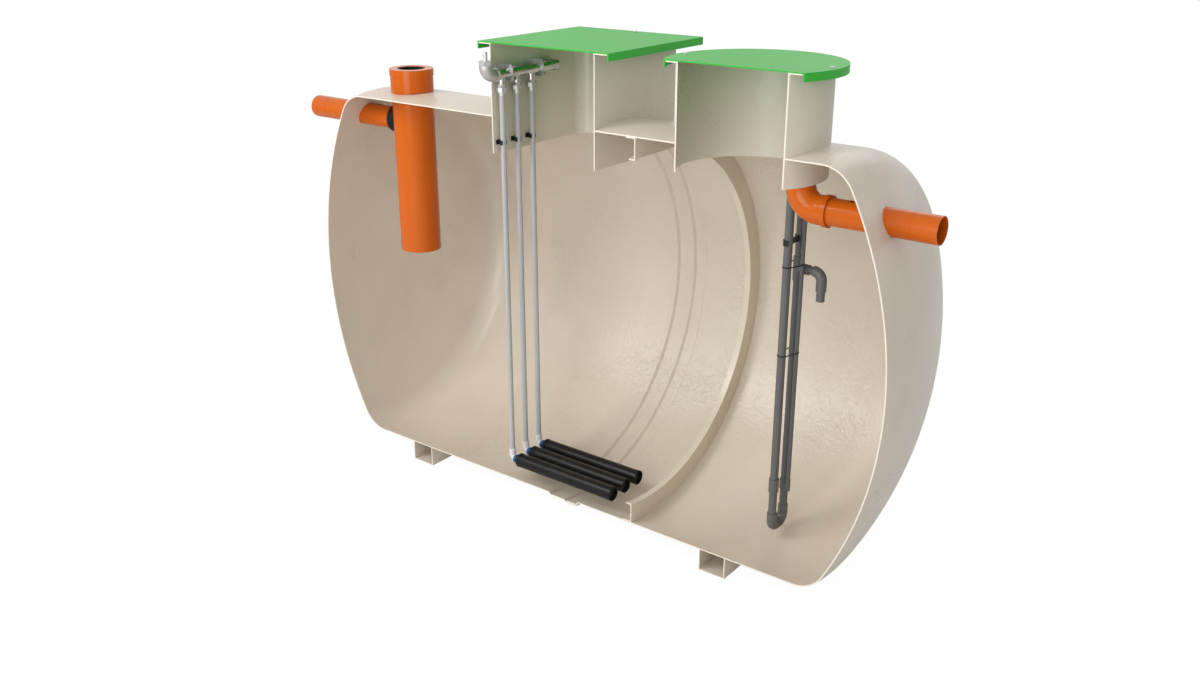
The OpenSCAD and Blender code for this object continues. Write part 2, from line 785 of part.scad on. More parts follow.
// Wall clamp: an upright plate round the pipe, its foot on the wall and two bolts
module clamp(y) {
    wall_x = rect_wall_x;
    color([0.70, 0.70, 0.68]) placed() {
        difference() {
            union() {
                translate([wall_x, y, air_z]) rotate([90, 0, 0]) linear_extrude(clamp_t)
                    plate_outline();
                translate([wall_x, y - clamp_foot_l, air_z - clamp_h / 2])
                    cube([clamp_t / 2, clamp_foot_l, clamp_h]);
            }
            bar_y(air_r + fit_gap, air_x, y - clamp_foot_l, y + clamp_t, air_z);
            for (s = [-1, 1]) bar_y(bolt_r, wall_x + clamp_w - 2 * bolt_r,
                y - 2 * clamp_t, y + clamp_t, air_z + s * (clamp_h / 2 - 2 * bolt_r));
        }
        for (s = [-1, 1]) translate([wall_x + clamp_w - 2 * bolt_r, 0,
                air_z + s * (clamp_h / 2 - 2 * bolt_r)]) {
            bar_y(bolt_r, 0, y - 2 * clamp_t, y + 4 * clamp_t, 0);
            translate([0, y + 3 * clamp_t, 0]) rotate([90, 0, 0])
                cylinder(r = 2 * bolt_r, h = 2 * clamp_t, $fn = 6);
            translate([0, y - clamp_t, 0]) rotate([90, 0, 0])
                cylinder(r = 2 * bolt_r, h = clamp_t, $fn = 6);
        }
    }
}

module clamp_front() { clamp(clamp_y[0]); }
module clamp_rear() { clamp(clamp_y[1]); }

// Union nut with the collar that the riser enters and the hexagon of the nipple
module union_nut(i) {
    top = union_collar_h + union_h;
    color([0.78, 0.78, 0.76]) placed() translate([air_x, riser_ys[i], union_low]) difference() {
        union() {
            cylinder(r = nipple_r + riser_t / 2, h = union_collar_h);
            translate([0, 0, union_collar_h]) cylinder(r = union_r, h = union_h, $fn = 8);
            translate([0, 0, top]) cylinder(r = hex_r, h = hex_h, $fn = 6);
        }
        translate([0, 0, -over]) cylinder(r = riser_r + fit_gap, h = top + over);
        translate([0, 0, top]) cylinder(r = nipple_r + fit_gap / 2, h = hex_h + over);
    }
}

module union_nut_1() { union_nut(0); }
module union_nut_2() { union_nut(1); }
module union_nut_3() { union_nut(2); }

module riser(i) {
    color([0.78, 0.78, 0.77]) placed() difference() {
        bar_z(riser_r, air_x, riser_ys[i], riser_low, nipple_z);
        bar_z(riser_r - riser_t, air_x, riser_ys[i], riser_low - over, nipple_z + over);
    }
}

module riser_1() { riser(0); }
module riser_2() { riser(1); }
module riser_3() { riser(2); }

// Snap-in pipe clip: its foot is on the shaft wall and its mouth opens forward
module riser_clip(i) {
    out_r = riser_r + fit_gap + clip_t;
    wall_x = rect_wall_x;
    color([0.06, 0.06, 0.06]) placed() translate([0, riser_ys[i], clip_z]) difference() {
        union() {
            translate([air_x, 0, 0]) cylinder(r = out_r, h = clip_h);
            translate([wall_x, -out_r, 0]) cube([clip_t, 2 * out_r, clip_h]);
            translate([wall_x, -clip_t, 0]) cube([air_x - wall_x, 2 * clip_t, clip_h]);
        }
        translate([air_x, 0, -over]) cylinder(r = riser_r + fit_gap, h = clip_h + 2 * over);
        translate([air_x + riser_r / 2, -out_r, -over]) cube([2 * out_r, 2 * out_r, clip_h + 2 * over]);
    }
}

module riser_clip_1() { riser_clip(0); }
module riser_clip_2() { riser_clip(1); }
module riser_clip_3() { riser_clip(2); }

// Bottom elbow that turns the riser towards its diffuser
module riser_elbow(i) {
    socket = 2 * riser_r;
    color([0.84, 0.84, 0.82]) placed() {
        translate([air_x + elbow_bend_r, riser_ys[i], diffuser_z + elbow_bend_r])
            rotate([90, 0, 180]) rotate([0, 0, -90])
                quarter_bend(elbow_bend_r, elbow_r, riser_r - riser_t);
        difference() {
            union() {
                bar_z(elbow_r, air_x, riser_ys[i], riser_low, riser_low + socket);
                bar_z(elbow_r + riser_t / 2, air_x, riser_ys[i],
                    riser_low + 3 * socket / 4, riser_low + socket);
            }
            bar_z(riser_r + fit_gap / 2, air_x, riser_ys[i], riser_low - over, riser_low + socket + over);
        }
    }
}

module riser_elbow_1() { riser_elbow(0); }
module riser_elbow_2() { riser_elbow(1); }
module riser_elbow_3() { riser_elbow(2); }

module collar(i) {
    color([0.10, 0.27, 0.62]) placed() difference() {
        bar_x(collar_r, collar_x, diffuser_x, riser_ys[i], diffuser_z);
        bar_x(riser_r - riser_t, collar_x - over, diffuser_x + over, riser_ys[i], diffuser_z);
    }
}

module collar_1() { collar(0); }
module collar_2() { collar(1); }
module collar_3() { collar(2); }

// Membrane tube with a raised clamp ring at each end and a recessed far end
module diffuser(i) {
    tube_r = diffuser_r - riser_t / 2;
    ring_x = diffuser_x + neck_l;
    far_x = diffuser_x + diffuser_l + neck_l;
    y = riser_ys[i];
    color([0.05, 0.05, 0.05]) placed() difference() {
        union() {
            bar_x(neck_r, diffuser_x, far_x - neck_l, y, diffuser_z);
            bar_x(tube_r, ring_x, far_x, y, diffuser_z);
            bar_x(diffuser_r, ring_x, ring_x + neck_l, y, diffuser_z);
            bar_x(diffuser_r, far_x - 2 * neck_l, far_x, y, diffuser_z);
        }
        bar_x(diffuser_r - 2 * riser_t, far_x - neck_l, far_x + over, y, diffuser_z);
    }
}

module diffuser_1() { diffuser(0); }
module diffuser_2() { diffuser(1); }
module diffuser_3() { diffuser(2); }

module lift_tube(y, z0) {
    difference() {
        bar_z(lift_r, lift_x, y, z0, lift_top_z);
        bar_z(lift_bore_r, lift_x, y, z0 - over, lift_top_z + over);
    }
}

module lift_pipe_front() {
    color([0.42, 0.43, 0.43]) placed() lift_tube(lift_a_y, lift_low_z + lift_bend_r);
}

module lift_pipe_rear() {
    color([0.42, 0.43, 0.43]) placed() lift_tube(lift_b_y, lift_low_z + lift_bend_r);
}

module lift_sleeve(y, z0, z1) {
    difference() {
        bar_z(lift_fit_r, lift_x, y, z0, z1);
        bar_z(lift_r + fit_gap / 2, lift_x, y, z0 - over, z1 + over);
    }
}

module lift_coupling() {
    color([0.38, 0.39, 0.39]) placed()
        lift_sleeve(lift_a_y, coupling_z, coupling_z + coupling_l);
}

// Two bends and a short pipe that join the lift pipes at the bottom
module lift_bottom_bend() {
    z = lift_low_z + lift_bend_r;
    color([0.38, 0.39, 0.39]) placed() {
        translate([lift_x, lift_a_y + lift_bend_r, z]) rotate([90, 0, 90]) rotate([0, 0, 180])
            quarter_bend(lift_bend_r, lift_fit_r, lift_bore_r);
        translate([lift_x, lift_b_y - lift_bend_r, z]) rotate([90, 0, 90]) rotate([0, 0, 270])
            quarter_bend(lift_bend_r, lift_fit_r, lift_bore_r);
        difference() {
            bar_y(lift_r, lift_x, lift_a_y + lift_bend_r, lift_b_y - lift_bend_r, lift_low_z);
            bar_y(lift_bore_r, lift_x, lift_a_y, lift_b_y, lift_low_z);
        }
        for (y = [lift_a_y, lift_b_y]) lift_sleeve(y, z, z + 2 * lift_r);
    }
}

// Tee on the rear lift pipe with a branch towards the outlet end
module lift_tee() {
    color([0.38, 0.39, 0.39]) placed() difference() {
        union() {
            bar_z(lift_fit_r, lift_x, lift_b_y, tee_z - tee_l / 2, tee_z + tee_l / 2);
            bar_x(lift_fit_r, lift_x, branch_x, lift_b_y, tee_z);
        }
        bar_z(lift_r + fit_gap / 2, lift_x, lift_b_y, tee_z - tee_l, tee_z + tee_l);
        bar_x(lift_bore_r, lift_x, branch_x + over, lift_b_y, tee_z);
    }
}

// Spout: a bend over and down with a socket fitting at its end
module lift_spout() {
    low = tee_z - spout_bend_r;
    color([0.42, 0.43, 0.43]) placed() {
        difference() {
            bar_x(lift_r, branch_x, spout_turn_x, lift_b_y, tee_z);
            bar_x(lift_bore_r, branch_x - over, spout_turn_x + over, lift_b_y, tee_z);
        }
        translate([spout_turn_x, lift_b_y, low]) rotate([90, 0, 0])
            quarter_bend(spout_bend_r, lift_fit_r, lift_bore_r);
        difference() {
            union() {
                bar_z(lift_r, spout_x, lift_b_y, spout_low_z, low);
                bar_z(lift_fit_r, spout_x, lift_b_y, low - spout_fit_l, low);
            }
            bar_z(lift_bore_r, spout_x, lift_b_y, spout_low_z - over, low + over);
        }
    }
}

// Thin air line in front of the rear lift pipe, with the fitting where it enters
module lift_air_line() {
    elbow_r = line_r + fitting_t / 2;
    color([0.50, 0.51, 0.51]) placed() difference() {
        union() {
            bar_z(line_r, line_x, line_y, line_low_z, lift_top_z);
            bar_z(elbow_r, line_x, line_y, line_low_z - elbow_r, line_low_z + line_fit_l);
            translate([line_x, line_y, line_low_z])
                rotate([0, 0, atan2(line_dy, -line_dx)]) rotate([0, 90, 0])
                    cylinder(r = line_r, h = norm([line_dx, line_dy]));
            bar_z(lift_fit_r, lift_x, lift_b_y, line_low_z - line_fit_l / 2,
                line_low_z + line_fit_l / 2);
        }
        bar_z(lift_r + fit_gap / 2, lift_x, lift_b_y, line_low_z - line_fit_l, tee_z);
    }
}

// Double clip that ties the two lift pipes together
module lift_clip() {
    out_r = lift_r + fit_gap + clip_t;
    color([0.06, 0.06, 0.06]) placed() difference() {
        union() {
            for (y = [lift_a_y, lift_b_y])
                bar_z(out_r, lift_x, y, lift_clip_z, lift_clip_z + lift_clip_h);
            translate([lift_x - clip_t, lift_a_y, lift_clip_z])
                cube([2 * clip_t, lift_gap, lift_clip_h]);
        }
        for (y = [lift_a_y, lift_b_y]) {
            bar_z(lift_r + fit_gap, lift_x, y, lift_clip_z - over, lift_clip_z + 2 * lift_clip_h);
            translate([lift_x + lift_r / 2, y - out_r, lift_clip_z - over])
                cube([2 * out_r, 2 * out_r, 2 * lift_clip_h]);
        }
    }
}

// Bracket that holds the rear lift pipe to the wall of the round shaft
module lift_bracket() {
    out_r = lift_r + fit_gap + clip_t;
    turn = atan2(lift_b_y - cut_offset, lift_x - round_x);
    color([0.45, 0.46, 0.46]) placed() difference() {
        union() {
            bar_z(out_r, lift_x, lift_b_y, bracket_z, bracket_z + bracket_h);
            intersection() {
                translate([lift_x, lift_b_y, bracket_z]) rotate([0, 0, turn])
                    translate([0, -bracket_w / 2, 0])
                        cube([round_r, bracket_w, bracket_h]);
                bar_z(round_r - shaft_t, round_x, cut_offset, bracket_z, bracket_z + bracket_h);
            }
            intersection() {
                translate([lift_x, lift_b_y, bracket_z]) rotate([0, 0, turn])
                    translate([0, -1.5 * bracket_w, 0])
                        cube([round_r, 3 * bracket_w, bracket_h]);
                difference() {
                    bar_z(round_r - shaft_t, round_x, cut_offset, bracket_z,
                        bracket_z + bracket_h);
                    bar_z(round_r - shaft_t - clip_t, round_x, cut_offset, bracket_z - over,
                        bracket_z + bracket_h + over);
                }
            }
        }
        bar_z(lift_r + fit_gap, lift_x, lift_b_y, bracket_z - over, bracket_z + bracket_h + over);
    }
}

// Cable ties round the two lift pipes and the air line; the upper one goes over the tee
module cable_ties() {
    color([0.05, 0.05, 0.05]) placed() for (z = tie_z) {
        rear_r = abs(z - tee_z) < tee_l / 2 ? lift_fit_r : lift_r;
        translate([lift_x, lift_b_y, z]) linear_extrude(tie_w) difference() {
            tie_outline(rear_r, fit_gap + tie_t);
            tie_outline(rear_r, fit_gap);
        }
    }
}

module tie_outline(rear_r, grow) {
    hull() {
        circle(rear_r + grow);
        translate([0, -lift_gap]) circle(lift_r + grow);
        translate([line_dx, -line_dy]) circle(line_r + grow);
    }
}

inlet_dome();
inlet_barrel();
joint_band();
outlet_barrel();
outlet_dome();
stiffening_ring();
inlet_foot();
outlet_foot();
rectangular_shaft();
rectangular_flange();
rectangular_lid();
round_shaft();
round_flange_ring();
round_lid();
inlet_pipe();
branch_seal();
drop_pipe();
drop_socket();
drop_seal();
outlet_pipe();
outlet_bend();
outlet_stub();
air_manifold();
manifold_end_cap();
manifold_elbow();
hose_tail();
clamp_front();
clamp_rear();
union_nut_1();
union_nut_2();
union_nut_3();
riser_1();
riser_2();
riser_3();
riser_clip_1();
riser_clip_2();
riser_clip_3();
riser_elbow_1();
riser_elbow_2();
riser_elbow_3();
collar_1();
collar_2();
collar_3();
diffuser_1();
diffuser_2();
diffuser_3();
lift_pipe_front();
lift_pipe_rear();
lift_coupling();
lift_bottom_bend();
lift_tee();
lift_spout();
lift_air_line();
lift_clip();
lift_bracket();
cable_ties();
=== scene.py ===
"""Looks for a sectioned packaged sewage treatment plant: a finish for every CAD node, the lid
screws, the collar bands, a pale floor, soft light and a camera at the picture's viewpoint."""
import math
from functools import cached_property

import bmesh
import bpy
import numpy as np
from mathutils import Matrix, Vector


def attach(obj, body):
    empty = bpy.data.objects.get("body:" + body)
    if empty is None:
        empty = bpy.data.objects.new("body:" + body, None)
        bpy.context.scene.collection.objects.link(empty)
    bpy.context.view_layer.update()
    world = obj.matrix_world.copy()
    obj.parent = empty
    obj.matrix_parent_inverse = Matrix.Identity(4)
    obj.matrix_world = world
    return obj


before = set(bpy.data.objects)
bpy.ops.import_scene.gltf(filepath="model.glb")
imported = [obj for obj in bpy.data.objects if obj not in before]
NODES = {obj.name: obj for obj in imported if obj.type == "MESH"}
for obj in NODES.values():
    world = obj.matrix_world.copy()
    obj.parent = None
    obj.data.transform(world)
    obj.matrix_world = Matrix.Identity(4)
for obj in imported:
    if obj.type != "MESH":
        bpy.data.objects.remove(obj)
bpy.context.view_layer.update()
MM = 0.001


def box(name):
    """Lowest and highest corner of a CAD node, in metres."""
    mesh = NODES[name].data
    places = np.empty(3 * len(mesh.vertices))
    mesh.vertices.foreach_get("co", places)
    places = places.reshape(-1, 3)
    return places.min(0), places.max(0)


# ---------------------------------------------------------------- shader maths
class Value:
    """What one socket gives out over a surface; operators on numbers add Math nodes."""

    def __init__(self, finish, socket):
        self.finish, self.socket = finish, socket

    def maths(self, operation, *terms, clamp=False):
        return self.finish.add("ShaderNodeMath", {"operation": operation, "use_clamp": clamp},
                               dict(enumerate(terms)))

    def __add__(self, other): return self.maths("ADD", self, other)
    def __radd__(self, other): return self.maths("ADD", other, self)
    def __sub__(self, other): return self.maths("SUBTRACT", self, other)
    def __rsub__(self, other): return self.maths("SUBTRACT", other, self)
    def __mul__(self, other): return self.maths("MULTIPLY", self, other)
    def __rmul__(self, other): return self.maths("MULTIPLY", other, self)
    def __lt__(self, other): return self.maths("LESS_THAN", self, other)
    def __gt__(self, other): return self.maths("GREATER_THAN", self, other)
    def larger(self, other): return self.maths("MAXIMUM", self, other)
    def clamped(self): return self.maths("ADD", self, 0.0, clamp=True)
    def sine(self): return self.maths("SINE", self)

    def ramp(self, low, high):
        """0 at low and 1 at high, straight between and held outside."""
        return ((self - low) * (1.0 / (high - low))).clamped()


COLOUR_A, COLOUR_B, COLOUR_OUT = 6, 7, 2     # a Mix node's sockets for colours


class Finish:
    """The shader of one material or of the world; add() makes any node from its type, its
    settings and the values or links of its sockets."""

    def __init__(self, owner, output="ShaderNodeOutputMaterial"):
        owner.use_nodes = True
        self.owner, self.tree, self.output = owner, owner.node_tree, output
        self.tree.nodes.clear()

    def add(self, kind, settings, inputs, out=0):
        node = self.tree.nodes.new(kind)
        for key, value in settings.items():
            setattr(node, key, value)
        for key, value in inputs.items():
            if isinstance(value, Value):
                self.tree.links.new(value.socket, node.inputs[key])
            elif value is not None:
                node.inputs[key].default_value = value
        return Value(self, node.outputs[out]) if node.outputs else None

    @cached_property
    def object_place(self):
        """Object coordinates, so that a pattern stays where it is on its piece."""
        return self.add("ShaderNodeTexCoord", {}, {}, out="Object")

    def axis(self, index):
        """One coordinate of the piece, in metres: 0 along the tank, 1 across it, 2 upwards."""
        return self.add("ShaderNodeSeparateXYZ", {}, {0: self.object_place}, out=index)

    def noise(self, scale, detail, rough, stretch=None, distortion=0.0):
        """Cloudy noise; a stretch below 1 draws the pattern out along that axis."""
        place = self.object_place
        if stretch:
            place = self.add("ShaderNodeMapping", {}, {"Vector": place, "Scale": stretch})
        return self.add("ShaderNodeTexNoise", {}, {"Vector": place, "Scale": scale,
                        "Detail": detail, "Roughness": rough, "Distortion": distortion})

    def cells(self, scale):
        """Distance from the middle of the nearest cell of a random pattern."""
        return self.add("ShaderNodeTexVoronoi", {"feature": "F1"},
                        {"Vector": self.object_place, "Scale": scale}, out="Distance")

    def ray(self, question):
        """1 where the light path's answer is yes, such as Is Camera Ray."""
        return self.add("ShaderNodeLightPath", {}, {}, out=question)

    def blend(self, factor, first, second):
        """First colour where the factor is 0, second where it is 1."""
        return self.add("ShaderNodeMix", {"data_type": "RGBA"},
                        {"Factor": factor, COLOUR_A: first, COLOUR_B: second}, out=COLOUR_OUT)

    def shader_blend(self, factor, first, second):
        """First shader where the factor is 0, second where it is 1."""
        return self.add("ShaderNodeMixShader", {}, {0: factor, 1: first, 2: second})

    def bump(self, height, distance, strength, under=None):
        """Relief of a height from 0 to 1, as deep as the distance, over the relief under it."""
        return self.add("ShaderNodeBump", {}, {"Height": height, "Distance": distance,
                        "Strength": strength, "Normal": under})

    def surface(self, colour, roughness, normal, **fixed):
        """The finished material; fixed gives other sockets a plain value each."""
        inputs = {"Base Color": colour, "Roughness": roughness, "Normal": normal}
        inputs.update({key.replace("_", " "): value for key, value in fixed.items()})
        return self.finished(self.add("ShaderNodeBsdfPrincipled", {}, inputs))

    def finished(self, shader):
        """Leads the shader to the output and gives back the material or world."""
        self.add(self.output, {}, {"Surface": shader})
        return self.owner


def rgba(colour, share=1.0):
    """A colour as a socket takes it, each part times the share."""
    return (*(part * share for part in colour), 1.0)


# ---------------------------------------------------------------- finishes
CUT_Y = float(box("inlet_barrel")[0][1])     # the section plane, where the barrel ends
CUT_SKIN = 0.4 * MM
SLIT_PITCH = 4.0 * MM

# The laminate's hand-rolled ripple grows from nothing at the first place to full at the second,
# in metres: two heights under the crown and over the underside, two places by the dished ends.
RIPPLE_FROM_CROWN = (1.30, 1.00)
RIPPLE_FROM_UNDERSIDE = (0.20, 0.45)
RIPPLE_FROM_INLET = (-0.90, -0.45)
RIPPLE_FROM_OUTLET = (1.30, 1.00)

CREAM = (0.76, 0.70, 0.595)
# Painted shade: the near black put into the membrane's slits, for the shade inside them.
PAINTED_SLIT_SHADE = (0.004, 0.004, 0.004)
# Painted light: a green tint for the shafts, standing in for the light through the green lids.
PAINTED_GREEN_LIGHT = (0.445, 0.475, 0.335)
PAINTED_GREEN_FROM, PAINTED_GREEN_TO = 1.75, 2.3   # heights in metres, up the shafts to the lids


def moulded_glass_fibre(name, base, shade, wave=1.0, painted_green_share=0.0):
    """Glass fibre moulding: slow mottling, a faint chopped strand grain, shallow waves and
    rolled ripples of the laminate, and a pale sawn edge where the section plane cuts it. Near
    the lids, a green tint is painted on the shafts: painted light, for the light through the
    lids."""
    f = Finish(bpy.data.materials.new(name))
    along, across, height = f.axis(0), f.axis(1), f.axis(2)
    mottle = f.noise(scale=2.2, detail=4.0, rough=0.55)
    strand = f.noise(scale=95.0, detail=3.0, rough=0.7, distortion=1.2)
    fleck = f.noise(scale=420.0, detail=2.0, rough=0.6)
    tone = (mottle * 0.75 + strand * 0.17 + fleck * 0.08).ramp(0.36, 0.64)
    colour = f.blend(tone, rgba(shade), rgba(base))
    if painted_green_share:
        # painted light: the shafts turn green towards the lids, for the light through them
        painted_green = height.ramp(PAINTED_GREEN_FROM, PAINTED_GREEN_TO) * painted_green_share
        colour = f.blend(painted_green, colour, rgba(PAINTED_GREEN_LIGHT))
    sawn = across < CUT_Y + CUT_SKIN
    sawn_colour = f.blend(fleck.ramp(0.4, 0.6), rgba(CREAM, 0.93), rgba(CREAM))
    colour = f.blend(sawn, colour, sawn_colour)
    roughness = 0.20 + mottle * 0.10 + strand * 0.08 + sawn * 0.3

    swell = f.noise(scale=7.5, detail=2.0, rough=0.45)
    waves = f.bump(swell, distance=4.0 * MM * wave, strength=0.5)
    ripple = f.noise(scale=30.0, detail=3.0, rough=0.55, distortion=1.2)
    patch = f.noise(scale=1.7, detail=1.0, rough=0.4).ramp(0.42, 0.62)
    rolled = (height.ramp(*RIPPLE_FROM_CROWN) * height.ramp(*RIPPLE_FROM_UNDERSIDE)
              * along.ramp(*RIPPLE_FROM_INLET) * along.ramp(*RIPPLE_FROM_OUTLET))
    hammered = f.bump(ripple * (patch * 0.6 + 0.4) * rolled, distance=8.0 * MM * wave,
                      strength=1.0, under=waves)
    grain = f.bump(strand + fleck * 0.4, distance=0.30 * MM, strength=0.45, under=hammered)
    return f.surface(colour, roughness, grain, Specular_IOR_Level=0.42)


def pipe_plastic(name, base, shade, roughness=0.30, gloss=0.3):
    """Extruded or moulded pipe plastic: faint draw lines, slight colour drift, soft scuffs."""
    f = Finish(bpy.data.materials.new(name))
    drift = f.noise(scale=3.0, detail=2.0, rough=0.5)
    drawn = f.noise(scale=70.0, detail=3.0, rough=0.55, stretch=(1.0, 1.0, 0.04))
    scuff = f.noise(scale=38.0, detail=5.0, rough=0.65)
    scuffed = [part + 0.08 for part in base]
    colour = f.blend(drift.ramp(0.35, 0.65), rgba(shade), rgba(base))
    colour = f.blend(scuff.ramp(0.66, 0.80) * 0.10, colour, rgba(scuffed))
    rough = roughness + scuff.ramp(0.5, 0.75) * 0.10 + drawn * 0.05
    fine = f.noise(scale=260.0, detail=2.0, rough=0.5)
    orange_peel = f.bump(drawn + fine * 0.4, distance=0.05 * MM, strength=0.4)
    return f.surface(colour, rough, orange_peel, Specular_IOR_Level=gloss)


def lid_plastic(name, base, shade):
    """Moulded lid: a fine leathery grain with slight tone drift and a low sheen."""
    f = Finish(bpy.data.materials.new(name))
    drift = f.noise(scale=3.0, detail=3.0, rough=0.5)
    grain = f.cells(scale=420.0)
    colour = f.blend(drift.ramp(0.35, 0.65), rgba(shade), rgba(base))
    rough = 0.34 + drift * 0.08 + grain * 0.10
    leathery = f.bump(grain, distance=0.10 * MM, strength=0.35)
    return f.surface(colour, rough, leathery, Specular_IOR_Level=0.37)


def soft_rubber(name, base, roughness, gloss):
    """Moulded rubber with a fine matt bloom."""
    f = Finish(bpy.data.materials.new(name))
    bloom = f.noise(scale=45.0, detail=4.0, rough=0.6)
    colour = f.blend(bloom.ramp(0.45, 0.75) * 0.5, rgba(base), rgba(base, 1.9))
    pores = f.noise(scale=500.0, detail=2.0, rough=0.6)
    matt = f.bump(pores, distance=0.08 * MM, strength=0.5)
    return f.surface(colour, roughness + bloom * 0.12, matt, Specular_IOR_Level=gloss)


def slit_membrane(name, base):
    """Membrane sleeve: rows of short slits round the tube, as dimples in the bump and as painted
    shade in the colour. The rows are the crests of a sine along the tube, broken up by noise
    drawn out along it."""
    f = Finish(bpy.data.materials.new(name))
    rows = (f.axis(0) * (2 * math.pi / SLIT_PITCH)).sine()
    breaks = f.noise(scale=160.0, detail=1.0, rough=0.4, stretch=(0.2, 1.0, 1.0))
    slits = rows.ramp(0.55, 0.9) * breaks.ramp(0.52, 0.60)
    bloom = f.noise(scale=30.0, detail=4.0, rough=0.6)
    colour = f.blend(bloom.ramp(0.45, 0.8) * 0.45, rgba(base), rgba(base, 2.1))
    # painted shade: the slits darkened, for the shade inside them
    colour = f.blend(slits * 0.6, colour, rgba(PAINTED_SLIT_SHADE))
    dimples = f.bump(slits * -1.0, distance=0.25 * MM, strength=0.7)
    return f.surface(colour, 0.24 + bloom * 0.12, dimples, Specular_IOR_Level=0.2)


def machined_metal(name, base, roughness):
    """Plated or polished steel: fine turning marks and a slightly uneven sheen."""
    f = Finish(bpy.data.materials.new(name))
    turning = f.noise(scale=900.0, detail=2.0, rough=0.5, stretch=(0.05, 0.05, 1.0))
    tone = f.noise(scale=40.0, detail=3.0, rough=0.5)
    colour = f.blend(tone.ramp(0.4, 0.65), rgba(base, 0.88), rgba(base))
    marks = f.bump(turning, distance=0.02 * MM, strength=0.4)
    return f.surface(colour, roughness + turning * 0.12, marks, Metallic=1.0)


FINISHES = {
    "shell": moulded_glass_fibre("shell moulding", base=(0.665, 0.592, 0.495),
                                 shade=(0.615, 0.543, 0.447)),
    "trim": moulded_glass_fibre("trim moulding", base=(0.69, 0.615, 0.51),
                                shade=(0.64, 0.565, 0.46), wave=0.4),
    # The shafts carry the painted green light towards the lids.
    "shaft": moulded_glass_fibre("shaft moulding", base=(0.73, 0.66, 0.56),
                                 shade=(0.675, 0.605, 0.505), wave=0.15, painted_green_share=0.85),
    "lid": lid_plastic("lid green", base=(0.028, 0.42, 0.030), shade=(0.023, 0.39, 0.025)),
    "orange": pipe_plastic("drain orange", base=(0.56, 0.106, 0.0025),
                           shade=(0.53, 0.098, 0.0022), roughness=0.12, gloss=0.26),
    "dark grey": pipe_plastic("pressure grey", base=(0.125, 0.125, 0.122),
                              shade=(0.11, 0.11, 0.108)),
    "light grey": pipe_plastic("air pipe grey", base=(0.44, 0.433, 0.43),
                               shade=(0.405, 0.40, 0.395)),
    "white": pipe_plastic("white fitting", base=(0.70, 0.695, 0.69),
                          shade=(0.66, 0.655, 0.65), roughness=0.20),
    "blue": pipe_plastic("collar blue", base=(0.022, 0.092, 0.29),
                         shade=(0.018, 0.078, 0.26), roughness=0.28),
    "black": soft_rubber("black plastic", base=(0.012, 0.012, 0.012), roughness=0.32,
                         gloss=0.30),
    "rubber": soft_rubber("black rubber", base=(0.008, 0.008, 0.008), roughness=0.50,
                          gloss=0.16),
    "membrane": slit_membrane("membrane", base=(0.008, 0.008, 0.008)),
    "plated": machined_metal("plated steel", base=(0.60, 0.595, 0.585), roughness=0.42),
    "polished": machined_metal("polished steel", base=(0.66, 0.655, 0.65), roughness=0.10),
}

# Each CAD node's finish, by how its name begins: the first row that fits holds.
NODE_FINISH = [
    ("inlet_dome", "shell"), ("inlet_barrel", "shell"), ("joint_band", "shell"),
    ("outlet_barrel", "shell"), ("outlet_dome", "shell"),
    ("stiffening_ring", "trim"), ("inlet_foot", "trim"), ("outlet_foot", "trim"),
    ("rectangular_flange", "trim"), ("round_flange_ring", "trim"),
    ("rectangular_shaft", "shaft"), ("round_shaft", "shaft"),
    ("rectangular_lid", "lid"), ("round_lid", "lid"),
    ("branch_seal", "rubber"), ("drop_seal", "rubber"),
    ("inlet_pipe", "orange"), ("drop_", "orange"), ("outlet_", "orange"),
    ("air_manifold", "polished"), ("manifold_end_cap", "polished"),
    ("manifold_elbow", "plated"), ("hose_tail", "plated"), ("clamp_", "plated"),
    ("union_nut", "plated"),
    ("riser_elbow", "white"), ("riser_clip", "black"), ("riser_", "light grey"),
    ("collar", "blue"), ("diffuser", "membrane"),
    ("lift_clip", "black"), ("cable_ties", "black"), ("lift_", "dark grey"),
]
for node_name, node in NODES.items():
    chosen = next(finish for start, finish in NODE_FINISH if node_name.startswith(start))
    node.data.materials.clear()
    node.data.materials.append(FINISHES[chosen])


# ---------------------------------------------------------------- new pieces
WELD, SLIVER = 1e-6, 1e-7            # metres: points this close merge, edges this short go
ROUND, HEXAGON = 0.0, 1.0            # a profile row's outline round the axis

# Lid screws, in millimetres over the lid.
WASHER_R, WASHER_T = 12.0, 2.2
WASHER_BEVEL_W, WASHER_BEVEL_T = 1.0, 0.6
HEAD_R, HEAD_RIM, HEAD_RISE = 8.0, 1.0, 3.6
HEAD_CURVE, HEAD_STEPS = math.pi / 3, 8      # how far round its rise the dome goes, in rows
RECESS_R, RECESS_TOP, RECESS_FLOOR = 3.4, 6.5, 4.0
ROUND_LID_INSET = 33.0 * MM          # from the edge of the lid to its screws
RECTANGULAR_LID_INSET = 27.5 * MM
AXIS_BEHIND_CUT = 182.0 * MM         # the tank's axis, which the round lid's screws stand on

# Collar bands, in millimetres: their bore lies within the elbow's wall, so no gap shows.
BAND_R, BAND_BORE, BAND_L, BAND_BEVEL = 19.6, 17.1, 9.0, 0.6


def grid_mesh(name, points):
    """A mesh from an (n, m, 3) array of points in metres: each cell of the grid is one quad,
    and the last column joins the first."""
    n, m = points.shape[:2]
    row, column = np.meshgrid(np.arange(n - 1), np.arange(m), indexing="ij")
    beside = (column + 1) % m
    quads = np.stack([row * m + column, row * m + beside,
                      (row + 1) * m + beside, (row + 1) * m + column], -1).reshape(-1, 4)
    mesh = bpy.data.meshes.new(name)
    mesh.from_pydata(points.reshape(-1, 3).tolist(), [], quads.tolist())
    mesh.polygons.foreach_set("use_smooth", np.ones(len(mesh.polygons), bool))
    mesh.update()
    return mesh


